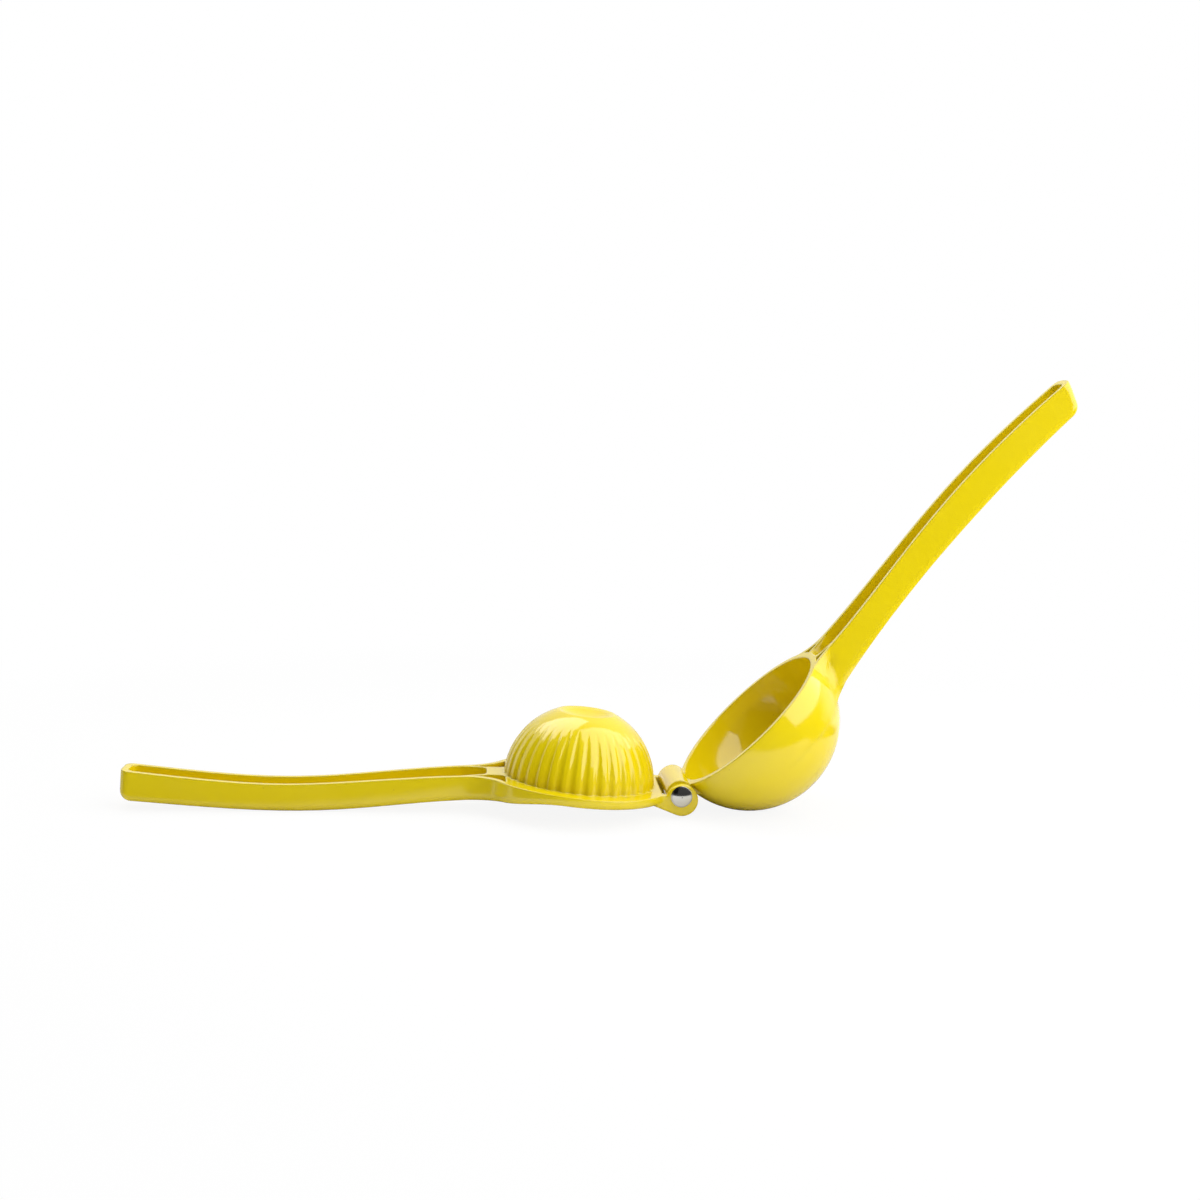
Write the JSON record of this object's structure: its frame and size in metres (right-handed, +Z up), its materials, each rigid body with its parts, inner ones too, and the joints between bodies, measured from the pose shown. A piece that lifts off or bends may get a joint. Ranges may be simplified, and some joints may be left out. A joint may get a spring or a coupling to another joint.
{
  "type": "hinged lemon squeezer",
  "caption": "Hand lemon squeezer of enamelled castings: a fluted dome on one bowed handle folds into a round bowl on the other about a riveted hinge.",
  "frame": {"origin": "on the surface it stands on, under the middle of the open squeezer", "axes": "+X from the presser arm's handle end to the bowl arm's handle end, +Y along the hinge rivet, away from its polished head, +Z up"},
  "size_m": [0.3519, 0.0694, 0.1639],
  "materials": {
    "yellow_enamel": "thick glossy enamel on cast aluminium",
    "polished_steel": "mirror polished head"
  },
  "bodies": {
    "presser": {"presser_arm": "yellow_enamel", "hinge_rivet": "polished_steel"},
    "bowl": {"bowl_arm": "yellow_enamel"}
  },
  "joints": [
    {"name": "hinge", "type": "hinge", "parent": "presser", "child": "bowl", "pos_m": [0.02986, 0, 0.00854], "axis": [0, -1, 0], "range_deg": [-15, 129.3]}
  ]
}
